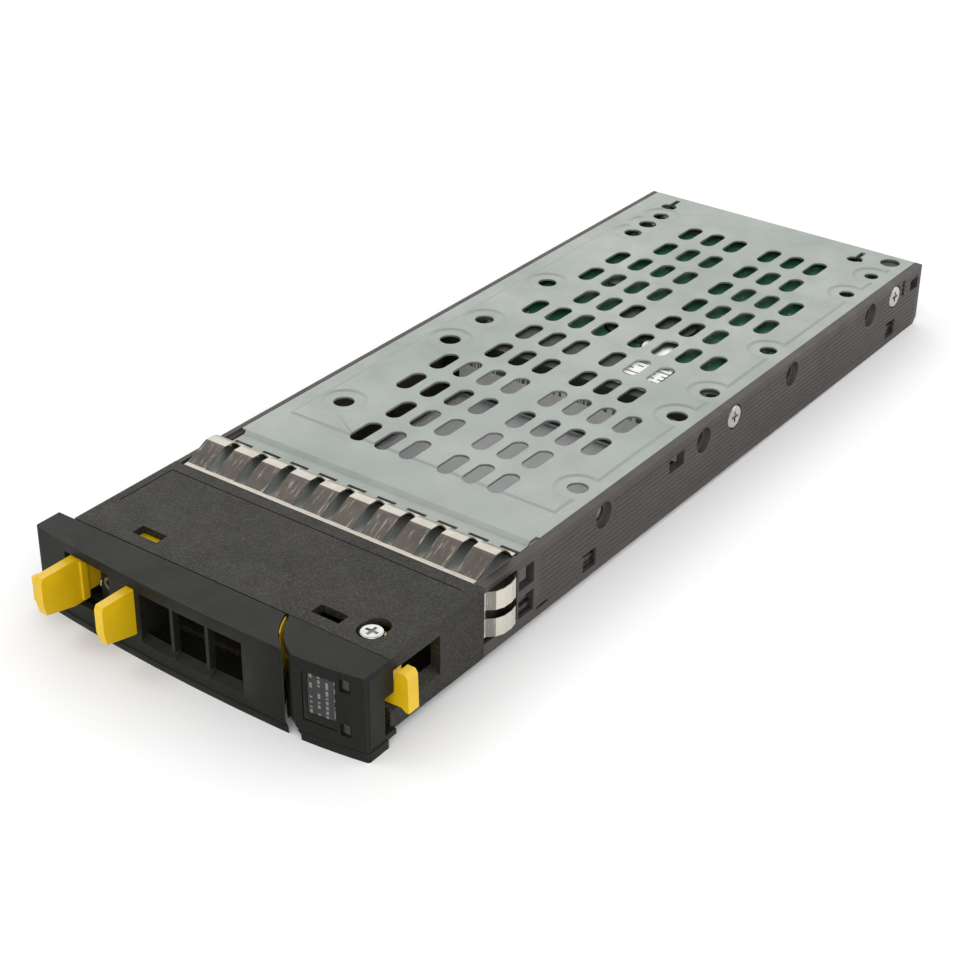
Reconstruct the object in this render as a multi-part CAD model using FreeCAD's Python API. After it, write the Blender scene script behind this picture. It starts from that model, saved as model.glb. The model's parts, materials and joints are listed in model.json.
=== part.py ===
import FreeCAD, Part
import math
import os

# A 2.5 inch enterprise hard disk drive in its hot-swap carrier, in millimetres.
# Origin: centre of the footprint, at the height of the bezel's lower flange.
# +X is to the right seen from the bezel, +Y towards the drive connector, +Z up.

V = FreeCAD.Vector

# ---- carrier ----
BODY_HALF = 39.0            # half width of the carrier body
REAR = 114.0                # rear end of the body and of the drive's connector
BODY_BOTTOM = 2.2           # underside of the rails
TOP = 17.8                  # top of the plate, the housing and the bezel
SHEET = 0.6                 # sheet steel
PLATE_UNDER = TOP - SHEET
PLATE_LEFT = -37.7
PLATE_RIGHT = 37.0
PLATE_FRONT = -49.5
STRIP_FRONT = -66.6         # front end of the plate's lowered strip, under the fingers
FINGER_SLOT_FRONT = -54.6
NECK_REAR = -54.9           # rear end of the housing's neck
RAIL_FRONT = -57.5
RIB_FRONT = -50.0
RIB_REAR = 112.0
HOUSING_FRONT = -96.0
HOUSING_REAR = -68.0
WALL = 1.6                  # moulded wall
SIDE_HOLE_Y = (100.0, 87.1, 48.8, 23.4, 10.4, -27.9)
SIDE_SCREW_Y = (100.0, 23.4)
SIDE_HOLE_Z = 14.15         # 3 mm below the drive's mounting face, which is uppermost
SLOT_PITCH = 11.8
SLOT_ROWS = 12
SLOT_REAR_Y = 94.8
SLOT_WIDTH = 3.8
SLOT_LENGTH = 8.5
FINGER_PITCH = 7.56
FINGER_WIDTH = 5.2
FINGER_RIGHT = -31.8        # right edge of the first finger
FINGER_COUNT = 10
FINGER_SHEET = 0.25

# ---- handle ----
PIVOT = (31.0, -91.0)
PIVOT_CLEAR = 0.06          # radial running clearance of the lever on its bush
HANDLE_BACK = HOUSING_FRONT - 0.3
HANDLE_LEFT = -43.0
HANDLE_END_R = 16.6         # the handle's right end is concentric with the pivot
BEZEL_VERTEX = (8.0, -105.3)
BEZEL_R = 464.0             # shallow curve of the bezel in plan
LED_FLANK_R = 15.6          # the fixed bezel's left flank, concentric with the pivot too
LED_BACK = HOUSING_FRONT - 0.2
TAB_TIP = -112.8
TAB_Z = (5.4, 15.3)
FIXED_TAB_X = (-16.9, -14.9)
LATCH_TAB_X = (-32.9, -30.9)
SPRING_SEAT_X = -24.6
SPRING_Z = 7.5
LOCK = (-25.0, 10.8)        # x and z of the tamper lock's axis
LED_X = 35.5
LED_Z = (15.0, 5.5)
PIPE_REAR = REAR - 1.5
BASE_SCREW_XY = ((-34.0, -73.0), (33.5, -73.0))

# ---- 2.5 inch drive, circuit board uppermost ----
DRIVE_X = 1.95              # centreline of the drive
DRIVE_HALF = 34.925
DRIVE_LENGTH = 100.45
DRIVE_FRONT = REAR - DRIVE_LENGTH
DRIVE_BOTTOM = 2.2
DRIVE_TOP = 17.15
COVER_TOP = DRIVE_BOTTOM + SHEET
CAVITY_TOP = 13.0
SPINDLE = (DRIVE_X, DRIVE_FRONT + 34.6)
DISK_R = 32.5
DISK_BORE_R = 10.0
DISK_THICK = 0.8
DISK_Z = (5.1, 7.7, 10.3)
ACTUATOR = (DRIVE_X + 8.0, SPINDLE[1] + 39.5)
ARM_REACH = 37.0
ARM_Z = (3.9, 6.5, 9.1, 11.7)
ARM_THICK = 0.7
SEAL = (11.4, 37.9)         # foil seal beside the motor
PARK_ANGLE = -152.6         # direction of the arms when parked on the ramp
COVER_SCREW_XY = [(DRIVE_X + sx * 32.0, y) for sx in (-1, 1) for y in (17.5, 64.0, 110.5)]
BOARD_SCREW_XY = [(DRIVE_X + sx * 27.0, y) for sx in (-1, 1) for y in (34.0, 104.0)]
BOARD_Z = (15.3, 16.2)
BOARD_Y = (30.0, 108.5)


# ---------------------------------------------------------------- helpers
def box(x, y, z):
    return Part.makeBox(x[1] - x[0], y[1] - y[0], z[1] - z[0], V(x[0], y[0], z[0]))


def disc(centre, radius, z):
    return Part.makeCylinder(radius, z[1] - z[0], V(centre[0], centre[1], z[0]))


def ring(centre, outer, inner, z):
    return disc(centre, outer, z).cut(disc(centre, inner, (z[0] - 1, z[1] + 1)))


def rod_x(y, z, radius, x):
    return Part.makeCylinder(radius, x[1] - x[0], V(x[0], y, z), V(1, 0, 0))


def rod_y(x, z, radius, y):
    return Part.makeCylinder(radius, y[1] - y[0], V(x, y[0], z), V(0, 1, 0))


def polygon(points, direction):
    wire = Part.makePolygon(points + [points[0]])
    return Part.Face(wire).extrude(direction)


def prism_z(points, z):
    return polygon([V(x, y, z[0]) for x, y in points], V(0, 0, z[1] - z[0]))


def prism_x(points, x):
    return polygon([V(x[0], y, z) for y, z in points], V(x[1] - x[0], 0, 0))


def prism_y(points, y):
    return polygon([V(x, y[0], z) for x, z in points], V(0, y[1] - y[0], 0))


def plan_solid(path, z):
    """Extrude a closed plan outline. ("via", x, y) makes the edge it stands in an arc through that point."""
    edges = []
    start = None
    via = None
    for item in path + [path[0]]:
        if item[0] == "via":
            via = V(item[1], item[2], z[0])
            continue
        end = V(item[0], item[1], z[0])
        if start is not None and via is not None:
            edges.append(Part.Arc(start, via, end).toShape())
        elif start is not None:
            edges.append(Part.LineSegment(start, end).toShape())
        start = end
        via = None
    return Part.Face(Part.Wire(edges)).extrude(V(0, 0, z[1] - z[0]))


def frustum(x, y, z, inset):
    """A low block whose top is inset on all four sides."""
    base = [(x[0], y[0]), (x[1], y[0]), (x[1], y[1]), (x[0], y[1])]
    crown = [(x[0] + inset, y[0] + inset), (x[1] - inset, y[0] + inset)]
    crown += [(x[1] - inset, y[1] - inset), (x[0] + inset, y[1] - inset)]
    wires = []
    for corners, height in ((base, z[0]), (crown, z[1])):
        points = [V(px, py, height) for px, py in corners]
        wires.append(Part.makePolygon(points + [points[0]]))
    return Part.makeLoft(wires, True, True)


def obround_y(centre, width, length, z):
    """A vertical slot with round ends, long in Y."""
    half = (length - width) / 2
    x, y = centre
    body = box((x - width / 2, x + width / 2), (y - half, y + half), z)
    return body.multiFuse([disc((x, y - half), width / 2, z), disc((x, y + half), width / 2, z)])


def ribbon(points, thickness):
    """Offset an open polyline into a closed outline of constant thickness."""
    left = []
    right = []
    for i, (px, py) in enumerate(points):
        before = points[max(i - 1, 0)]
        after = points[min(i + 1, len(points) - 1)]
        dx = after[0] - before[0]
        dy = after[1] - before[1]
        length = math.hypot(dx, dy)
        nx = -dy / length * thickness / 2
        ny = dx / length * thickness / 2
        left.append((px + nx, py + ny))
        right.append((px - nx, py - ny))
    return left + right[::-1]


def polar(centre, radius, degrees):
    angle = math.radians(degrees)
    return (centre[0] + radius * math.cos(angle), centre[1] + radius * math.sin(angle))


def fuse(shapes):
    return shapes[0].multiFuse(shapes[1:]).removeSplitter()


def group(shapes):
    return Part.makeCompound(shapes)


def bezel_front(x):
    """The bezel's front surface in plan."""
    return BEZEL_VERTEX[1] + BEZEL_R - math.sqrt(BEZEL_R ** 2 - (x - BEZEL_VERTEX[0]) ** 2)


def end_arc_x(radius, y):
    """Where a circle about the pivot crosses a given y, on the handle's side."""
    return PIVOT[0] - math.sqrt(radius ** 2 - (y - PIVOT[1]) ** 2)


# ---------------------------------------------------------------- carrier
def slot_centres():
    centres = []
    for row in range(SLOT_ROWS):
        y = SLOT_REAR_Y - SLOT_PITCH * row
        columns = [-16.0, -9.5, -3.0, 6.8, 13.2, 19.5]
        if row in (2, 3, 5, 8, 9):
            columns += [-22.5, 26.0]
        centres += [(x, y) for x in columns]
    return centres


def edge_holes():
    """Round holes along the plate's two sides, as (x, y, radius)."""
    left = [(100.5, 2.0), (94.0, 2.2), (87.1, 2.2), (49.0, 2.2), (23.4, 2.2), (10.3, 2.4), (-27.5, 2.3)]
    right = [(100.0, 1.7), (87.2, 1.8), (49.4, 2.0), (23.7, 2.2), (10.3, 2.3), (-27.4, 2.2), (110.0, 2.4)]
    return [(-28.3, y, r) for y, r in left] + [(32.2, y, r) for y, r in right]


def finger_slots(z):
    slots = []
    for n in range(FINGER_COUNT):
        x = FINGER_RIGHT + 0.5 + FINGER_PITCH * n
        slots.append(box((x - 4.7, x), (FINGER_SLOT_FRONT, FINGER_SLOT_FRONT + 1.6), z))
    return slots


def raised_panel(z):
    """The plate's embossed field, which stops short of the edge holes with a round bite at each."""
    field = frustum((-34.2, 34.4), (-38.5, 106.0), z, 0.7)
    bites = []
    for x, y, r in edge_holes():
        if y < 105.0:
            bites.append(Part.makeCone(r + 2.1, r + 3.0, z[1] - z[0] + 0.02, V(x, y, z[0] - 0.01)))
    return field.cut(bites)


def top_plate():
    lowered = 0.7
    sheet = box((PLATE_LEFT, PLATE_RIGHT), (PLATE_FRONT, REAR), (PLATE_UNDER, TOP))
    panel = raised_panel((TOP - 0.01, TOP + 0.25))
    hollow = raised_panel((PLATE_UNDER - 0.01, PLATE_UNDER + 0.25))
    step = [(PLATE_FRONT + 0.2, TOP), (PLATE_FRONT + 0.2, PLATE_UNDER), (PLATE_FRONT, PLATE_UNDER)]
    step += [(PLATE_FRONT - 0.8, PLATE_UNDER - lowered), (STRIP_FRONT, PLATE_UNDER - lowered)]
    step += [(STRIP_FRONT, TOP - lowered), (PLATE_FRONT - 0.8, TOP - lowered), (PLATE_FRONT, TOP)]
    strip = prism_x(step, (-36.5, 36.3))
    through = (PLATE_UNDER - 2, TOP + 2)
    holes = [obround_y(c, SLOT_WIDTH, SLOT_LENGTH, through) for c in slot_centres()]
    holes += [disc((x, y), r, through) for x, y, r in edge_holes()]
    holes += finger_slots(through)
    for x, y in ((-30.0, 107.0), (24.3, 106.5)):
        holes.append(disc((x, y), 2.0, through))
        holes.append(box((x - 0.65, x + 0.65), (y, y + 5.0), through))
    notch = box((36.2, 38.0), (PLATE_FRONT - 1, PLATE_FRONT + 2.0), through)
    return fuse([sheet, panel, strip]).cut([hollow, notch] + holes)


def light_pipe(index, grow=0.0):
    """One of the two light pipes: bezel window, down behind it, across, and back along the rail."""
    level = (6.0, 4.5)[index]
    face_z = LED_Z[index]
    drop_y = -100.8 - 1.4 * index
    run_x = 37.6
    half = 0.55 + grow
    window = box((LED_X - 0.75 - grow, LED_X + 0.75 + grow), (-103.7 - 2 * grow, drop_y + half),
                 (face_z - 0.95 - grow, face_z + 0.95 + grow))
    low = min(level, face_z)
    high = max(level, face_z)
    drop = box((LED_X - half, LED_X + half), (drop_y - half, drop_y + half), (low - half, high + half))
    band = (level - half, level + half)
    across = box((LED_X - half, run_x + half), (drop_y - half, drop_y + half), band)
    along = box((run_x - half, run_x + half), (drop_y - half, PIPE_REAR + grow), band)
    return fuse([window, drop, across, along])


def light_pipes():
    return group([light_pipe(0), light_pipe(1)])


def pipe_channels():
    return [light_pipe(0, 0.12), light_pipe(1, 0.12)]


def rail_grooves(outer_x, depth_sign):
    """Shallow grooves along the rail's outer face."""
    grooves = []
    for n in range(11):
        z = 4.1 + 1.15 * n
        x = sorted((outer_x - depth_sign * 0.16, outer_x + depth_sign * 1.0))
        grooves.append(box(x, (RIB_FRONT, RIB_REAR), (z, z + 0.5)))
    return grooves


def side_holes(outer_x, sign, sink, depth):
    """Counterbored holes in a rail: screw heads sit flush in the two that hold the drive."""
    cuts = []
    pads = []
    pad_depth = 0.6
    for y in SIDE_HOLE_Y:
        bore = sorted((outer_x - sign * depth, outer_x + sign * 1.0))
        seat = sorted((outer_x - sign * sink, outer_x + sign * 1.0))
        pad = sorted((outer_x - sign * pad_depth, outer_x))
        cuts.append(rod_x(y, SIDE_HOLE_Z, 1.65, bore))
        cuts.append(rod_x(y, SIDE_HOLE_Z, 2.9, seat))
        pads.append(rod_x(y, SIDE_HOLE_Z, 3.4, pad).common(box((-60, 60), (-200, 200), (BODY_BOTTOM, TOP))))
    return cuts, pads


def rail_bridges(inner, outer):
    """Two bars from a rail's front end to the housing, above and below the side fingers."""
    x = sorted((inner, outer))
    y = (HOUSING_REAR + 0.1, RAIL_FRONT + 0.1)
    return [box(x, y, (16.55, TOP)), box(x, y, (BODY_BOTTOM, 5.1))]


def right_rail():
    inner = 37.05
    profile = [(RAIL_FRONT, BODY_BOTTOM), (REAR - 1.5, BODY_BOTTOM), (REAR, BODY_BOTTOM + 1.5), (REAR, TOP)]
    profile += [(RAIL_FRONT, TOP)]
    wall = fuse([prism_x(profile, (inner, BODY_HALF))] + rail_bridges(inner, BODY_HALF))
    cuts, pads = side_holes(BODY_HALF, 1, 1.15, 2.5)
    body = wall.cut(rail_grooves(BODY_HALF, 1))
    body = fuse([body] + pads)
    x = (inner - 0.5, BODY_HALF + 1)
    windows = [box(x, (-57.0, -52.0), (11.1, 15.8)), box(x, (-57.0, -52.0), (4.8, 9.5))]
    windows.append(box(x, (-3.2, 2.7), (12.0, 15.5)))
    windows.append(box(x, (103.8, 105.2), (12.8, 16.8)))
    windows.append(box(x, (108.5, 112.5), (12.3, 15.3)))
    windows.append(box(x, (-34.8, -30.2), (3.9, 7.9)))
    windows.append(box(x, (97.0, 101.5), (3.9, 7.9)))
    windows.append(box(x, (-51.0, -47.0), (3.9, 4.5)))
    return body.cut(cuts + windows + pipe_channels())


def left_rail():
    inner = -33.1
    wall = box((-BODY_HALF, inner), (PLATE_FRONT + 0.4, REAR), (BODY_BOTTOM, PLATE_UNDER))
    lip = box((-BODY_HALF, -37.85), (RAIL_FRONT, REAR), (BODY_BOTTOM, TOP))
    front = box((-BODY_HALF, -37.05), (RAIL_FRONT, RIB_FRONT + 1), (BODY_BOTTOM, PLATE_UNDER))
    foot = box((inner - 1, -28.0), (RIB_FRONT, DRIVE_FRONT - 0.3), (BODY_BOTTOM, BODY_BOTTOM + 1.4))
    cuts, pads = side_holes(-BODY_HALF, -1, 3.9, 7.0)
    body = fuse([wall, lip, front, foot] + rail_bridges(-37.85, -BODY_HALF))
    body = body.cut(rail_grooves(-BODY_HALF, -1))
    body = fuse([body] + pads)
    cores = []
    for n in range(4):
        y = -46.5 + 14.6 * n
        if abs(y + 6.5 - SIDE_HOLE_Y[-1]) > 8 and abs(y + 6.5 - SIDE_HOLE_Y[-2]) > 8:
            cores.append(box((-36.4, inner + 1), (y, y + 13.0), (BODY_BOTTOM + 1.4, PLATE_UNDER - 1.4)))
    x = (-BODY_HALF - 1, -36.9)
    windows = [box(x, (-57.0, -52.0), (11.1, 15.8)), box(x, (-57.0, -52.0), (4.8, 9.5))]
    low = BODY_BOTTOM - 0.1
    corner = [(REAR - 1.6, low), (REAR + 0.1, low), (REAR + 0.1, low + 1.7)]
    corner = prism_x(corner, (-BODY_HALF - 1, inner + 1))
    return body.cut(cuts + cores + windows + [corner])


def side_screw(y, head_x, sign, length):
    """A pan-head M3 screw along X, its head outwards."""
    head_in = head_x - sign * 1.1
    head = rod_x(y, SIDE_HOLE_Z, 2.7, sorted((head_x, head_in)))
    head = head.makeChamfer(0.3, [e for e in head.Edges if abs(e.BoundBox.XMin - head_x) < 0.01
                                  and e.BoundBox.XLength < 0.01])
    shank = rod_x(y, SIDE_HOLE_Z, 1.45, sorted((head_in, head_in - sign * length)))
    bars = []
    for wide, tall in ((2.6, 0.7), (0.7, 2.6)):
        bars.append(box(sorted((head_x + sign, head_x - sign * 0.7)), (y - wide / 2, y + wide / 2),
                        (SIDE_HOLE_Z - tall / 2, SIDE_HOLE_Z + tall / 2)))
    return head.fuse(shank).cut(bars)


def rail_screws():
    screws = [side_screw(y, BODY_HALF - 0.03, 1, 5.6) for y in SIDE_SCREW_Y]
    screws += [side_screw(y, -BODY_HALF + 2.75, -1, 5.6) for y in SIDE_SCREW_Y]
    return group(screws)


def front_housing():
    """Moulded shell behind the bezel, with a neck that the finger strips, plate and rails fit round."""
    shell = box((-BODY_HALF, BODY_HALF), (HOUSING_FRONT, HOUSING_REAR), (BODY_BOTTOM, TOP))
    neck = box((-36.8, 36.8), (HOUSING_REAR - 1, NECK_REAR), (2.9, 16.2))
    body = fuse([shell, neck])
    hollow = box((-37.2, 36.8), (HOUSING_FRONT - 1, HOUSING_REAR - WALL), (BODY_BOTTOM - 1, TOP - WALL))
    passage = box((-35.2, 35.2), (HOUSING_REAR - WALL - 1, -50), (4.5, TOP - 3.2))
    body = body.cut([hollow, passage])
    keeper = box((-37.3, -35.9), (-95.4, -94.0), (7.0, 14.4))
    posts = []
    for x, y in BASE_SCREW_XY:
        posts.append(ring((x, y), 2.4, 0.9, (3.8, TOP - WALL + 0.1)))
    body = fuse([body, keeper] + posts)
    tools = [box((x, x + 6.5), (-93.0, -90.0), (TOP - 2, TOP + 1)) for x in (-26.5, 18.5)]
    groove_z = (TOP - 0.25, TOP + 1)
    tools.append(box((-37.0, 36.0), (-71.2, -70.9), groove_z))
    tools.append(box((-37.15, -36.85), (-86.0, -70.9), groove_z))
    tools.append(disc(PIVOT, 2.9, (TOP - 1.0, TOP + 1)))
    tools.append(disc((PIVOT[0], PIVOT[1] + 1.7), 2.6, (TOP - 3, TOP + 1)))
    tools.append(disc(PIVOT, 1.6, (TOP - 3, TOP + 1)))
    window = [(-97.0, 7.6), (-81.4, 7.6), (-81.4, 14.7), (-97.0, 14.7)]
    tools.append(prism_x(window, (35.0, BODY_HALF + 1)))
    bevel = [(36.8, 7.7), (BODY_HALF + 0.1, 6.0), (BODY_HALF + 0.1, 7.7)]
    tools.append(prism_y(bevel, (-97.0, -81.4)))
    return body.cut(tools + pipe_channels())


def housing_base():
    """Bottom cover of the housing, which carries the lower end of the pivot."""
    floor = (BODY_BOTTOM, BODY_BOTTOM + 1.5)
    plate = box((-36.9, 36.5), (HOUSING_FRONT + 0.2, HOUSING_REAR - WALL - 0.2), floor)
    ribs = [box((x, x + 1.0), (-90.0, -72.0), (floor[1] - 0.1, floor[1] + 0.9)) for x in (-24.0, -8.0, 8.0)]
    body = fuse([plate] + ribs)
    holes = [disc(PIVOT, 1.3, (0, 10))]
    for centre in BASE_SCREW_XY:
        holes += [disc(centre, 1.1, (0, 10)), disc(centre, 2.1, (0, BODY_BOTTOM + 0.8))]
    return body.cut(holes + pipe_channels())


def base_screws():
    screws = []
    for x, y in BASE_SCREW_XY:
        head = disc((x, y), 1.9, (BODY_BOTTOM + 0.05, BODY_BOTTOM + 0.8))
        shank = disc((x, y), 0.88, (BODY_BOTTOM + 0.75, 9.0))
        cross = []
        for a, b in ((1.2, 0.3), (0.3, 1.2)):
            cross.append(box((x - a, x + a), (y - b, y + b), (0, BODY_BOTTOM + 0.5)))
        screws.append(head.fuse(shank).cut(cross))
    return group(screws)


def pivot_bush():
    return ring(PIVOT, 3.0, 1.55, (BODY_BOTTOM + 1.5, TOP - WALL))


def pivot_screw():
    head = disc(PIVOT, 2.3, (TOP - 1.0, TOP - 0.15))
    head = head.makeFillet(0.35, [e for e in head.Edges if e.BoundBox.ZMin > TOP - 0.2])
    shank = disc(PIVOT, 1.5, (BODY_BOTTOM + 1.5, TOP - 0.9))
    tip = disc(PIVOT, 1.25, (BODY_BOTTOM + 0.1, BODY_BOTTOM + 1.6))
    cross = []
    for a, b in ((1.4, 0.35), (0.35, 1.4)):
        cross.append(box((PIVOT[0] - a, PIVOT[0] + a), (PIVOT[1] - b, PIVOT[1] + b), (TOP - 0.75, TOP + 1)))
    return fuse([head, shank, tip]).cut(cross)


def emi_fingers_top():
    """A row of curved spring fingers with one common foot, each hooked into a slot of the plate."""
    line = [(-67.7, 17.45), (-66.6, 17.55), (-61.3, 20.05), (-60.8, 20.25), (-58.7, 20.2), (-57.6, 19.8)]
    line += [(-56.5, 18.7), (-55.8, 17.6), (-55.5, 17.35)]
    leaf = ribbon(line, FINGER_SHEET)
    hook = ribbon([(-56.1, 18.0), (-55.5, 17.35), (-54.3, 17.3), (-53.8, 17.0), (-53.7, 16.4)], FINGER_SHEET)
    fingers = []
    for n in range(FINGER_COUNT):
        right = FINGER_RIGHT + FINGER_PITCH * n
        fingers.append(prism_x(leaf, (right - FINGER_WIDTH, right)))
        fingers.append(prism_x(hook, (right - 3.6, right)))
    foot = box((-36.6, 36.2), (-67.7, -66.7), (16.25, 17.6))
    return fuse([foot] + fingers)


def emi_fingers_side(sign):
    line = [(38.45, -67.8), (38.5, -66.9), (39.9, -65.6), (40.6, -64.0), (40.7, -61.8), (40.3, -60.0)]
    line.append((38.7, -57.9))
    profile = [(sign * x, y) for x, y in ribbon(line, FINGER_SHEET)]
    fingers = [prism_z(profile, z) for z in ((12.2, 16.3), (6.2, 10.3))]
    web = box(sorted((sign * 37.0, sign * 38.5)), (-67.8, -67.0), (7.3, 16.3))
    return fuse([web] + fingers)


def emi_fingers_right():
    return emi_fingers_side(1)


def emi_fingers_left():
    return emi_fingers_side(-1)


def emi_screen():
    """Perforated steel wall across the neck: it lets air through and keeps the shielding closed."""
    sheet = box((-35.1, 35.1), (-60.4, -59.8), (4.6, 14.5))
    holes = []
    for row in range(3):
        for n in range(22 - row % 2):
            x = -31.5 + 3.0 * n + 1.5 * (row % 2)
            holes.append(rod_y(x, 6.9 + 2.65 * row, 1.15, (-61, -59)))
    return sheet.cut(holes)


def led_outline(inset, back, flank_r):
    """Plan of the fixed bezel block: its left flank is an arc about the pivot."""
    front = -105.3 + inset
    middle = (front + back) / 2
    right = 40.0 - inset
    path = [(end_arc_x(flank_r, front), front), ("via", 32.5, -104.55 + inset)]
    path += [(39.3 - inset, -103.4 + inset), ("via", right - 0.2, -103.2 + inset)]
    path += [(right, -102.6 + inset), (right, back)]
    path += [(end_arc_x(flank_r, back), back), ("via", end_arc_x(flank_r, middle), middle)]
    return path


def led_bezel():
    """Fixed right end of the bezel. It is open at the back and, at the arm's height, on the left flank."""
    block = plan_solid(led_outline(0.0, LED_BACK, LED_FLANK_R), (1.8, TOP))
    flange = plan_solid(led_outline(-0.2, -98.0, LED_FLANK_R), (0.0, 1.9))
    flange = flange.cut(box((20, 38.7), (-103.6, -90), (-1, 3)))
    lip = box((BODY_HALF + 0.05, 40.0), (LED_BACK - 0.1, -95.6), (1.8, 3.0))
    block = fuse([block, flange, lip])
    ceiling = TOP - WALL
    tools = [plan_solid(led_outline(1.5, -96.0, LED_FLANK_R - 1.5), (3.0, ceiling))]
    tools.append(plan_solid(led_outline(1.0, -96.0, LED_FLANK_R + 1.0), (7.9, ceiling)).common(
        box((10, 26.0), (-110, -90), (0, 20))))
    tools.append(box((10.0, 38.5), (-97.4, -96.0), (0, ceiling)))
    tools.append(box((38.0, 41.0), (-98.7, -96.0), (3.0, 11.2)))
    tools.append(prism_y([(20, -1), (26.3, -1), (26.1, 1.2), (24.5, 2.8), (20, 2.8)], (-110, -102)))
    top_edge = [(41, TOP + 1), (41, TOP - 0.7), (40.01, TOP - 0.7), (39.3, TOP + 0.01), (39.3, TOP + 1)]
    tools.append(prism_y(top_edge, (-110, -90)))
    tools.append(label_face(0.35).common(box((26.45, 26.8), (-107, -100), (4.65, 15.0))))
    tools.append(label_face(0.35).common(box((26.45, 33.8), (-107, -100), (4.65, 5.0))))
    tools.append(label_face(0.2).common(box((27.6, 33.6), (-107, -100), (6.6, 15.3))))
    for z in LED_Z:
        tools.append(box((LED_X - 1.15, LED_X + 1.15), (-107, -103.6), (z - 1.35, z + 1.35)))
    return block.cut(tools + pipe_channels())


def label_face(depth):
    """A skin of the fixed bezel's front, depth thick."""
    outer = plan_solid(led_outline(-1.0, -98.0, LED_FLANK_R + 3.0), (0.0, TOP))
    inner = plan_solid(led_outline(depth, -97.0, LED_FLANK_R + 3.0), (-1.0, TOP + 1))
    return outer.cut(inner)


def led_label():
    face = label_face(0.2).common(box((27.75, 33.45), (-107, -100), (6.75, 15.15)))
    return face.cut(label_face(0.04))


def handle_outline(inset):
    front_left = bezel_front(HANDLE_LEFT)
    radius = HANDLE_END_R + inset
    front_y = bezel_front(22.0) + inset
    back = HANDLE_BACK
    left = HANDLE_LEFT + inset
    mid_y = (front_y + back) / 2
    path = [(left, back), (left, front_left + inset + 0.6)]
    path += [("via", left + 0.2, front_left + inset + 0.15), (left + 0.7, bezel_front(left + 0.7) + inset)]
    path += [("via", -10.0, bezel_front(-10.0) + inset), (end_arc_x(radius, front_y), front_y)]
    path += [("via", end_arc_x(radius, mid_y), mid_y), (end_arc_x(radius, back), back)]
    return path


def handle_cover():
    """Hollow bezel of the handle, open at the back, with the air grille and the recess for the tabs."""
    shell = plan_solid(handle_outline(0.0), (1.3, TOP))
    flange = plan_solid(handle_outline(-0.25), (0.0, 1.4))
    flange = flange.cut(box((-60, 60), (HANDLE_BACK - 0.5, HANDLE_BACK + 1), (-1, 3)))
    flange = flange.cut(box((-60, HANDLE_LEFT + 3.0), (-110, -90), (-1, 3)))
    body = fuse([shell, flange])
    hollow = plan_solid(handle_outline(1.5), (2.9, TOP - WALL))
    mouth_right = end_arc_x(HANDLE_END_R + 1.5, HANDLE_BACK) - 0.1
    mouth = box((HANDLE_LEFT + 1.5, mouth_right), (HANDLE_BACK - 1, -96.0), (2.9, TOP - WALL))
    body = body.cut([hollow, mouth])
    recess_wall = box((-27.9, -20.6), (-100.6, -99.4), (2.8, TOP - WALL + 0.1))
    recess_side = box((-21.8, -20.6), (-104.0, -99.4), (2.8, TOP - WALL + 0.1))
    spring_seat = box((SPRING_SEAT_X, SPRING_SEAT_X + 1.2), (-99.5, -96.6), (2.8, 9.3))
    guide = box((-37.6, -28.2), (-100.4, -98.6), (2.8, 4.9))
    rib = box((-14.5, -13.6), (-104.0, -97.0), (2.8, TOP - WALL + 0.1))
    body = fuse([body, recess_wall, recess_side, spring_seat, guide, rib])
    tools = [box((-34.5, -21.8), (-107, -100.6), (5.1, 15.7))]
    tools.append(rod_y(LOCK[0], LOCK[1], 1.5, (-101.0, -99.0)))
    tab = (FIXED_TAB_X[0] - 0.15, FIXED_TAB_X[1] + 0.15)
    tools.append(box(tab, (-107, -98), (TAB_Z[0] - 0.15, TAB_Z[1] + 0.15)))
    tools.append(box((10.0, 16.0), (-97.1, -95.9), (8.0, TOP - WALL)))
    tools.append(end_sector((HANDLE_END_R - 1.0, 18.4), (-101.2, -95.9), (4.85, TOP - WALL)))
    left = -13.5
    right = 12.5
    rib = 0.8
    pane = (right - left - 2 * rib) / 3
    for n in range(3):
        x = left + n * (pane + rib)
        profile = [(-100.0, 5.8), (-103.0, 5.8), (-106.5, 2.6), (-106.5, 15.1), (-100.0, 15.1)]
        tools.append(prism_x(profile, (x, x + pane)))
    tools.append(prism_x([(-103.4, 5.8), (-106.5, 2.9), (-106.5, 5.8)], (left, right)))
    return body.cut(tools)


def end_sector(radii, y, z):
    """Part of a ring about the pivot, on the handle's side, between two values of y."""
    return ring(PIVOT, radii[1], radii[0], z).common(box((0.0, PIVOT[0]), y, z))


def tab_profile(root):
    """Side view of a grip tab: the tip leans back below and is rounded off above."""
    low, high = TAB_Z
    return [(root, low), (-105.2, low), (TAB_TIP + 0.6, low + 1.6), (TAB_TIP, low + 4.2),
            (TAB_TIP, high - 0.9), (TAB_TIP + 0.5, high), (root, high)]


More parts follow.
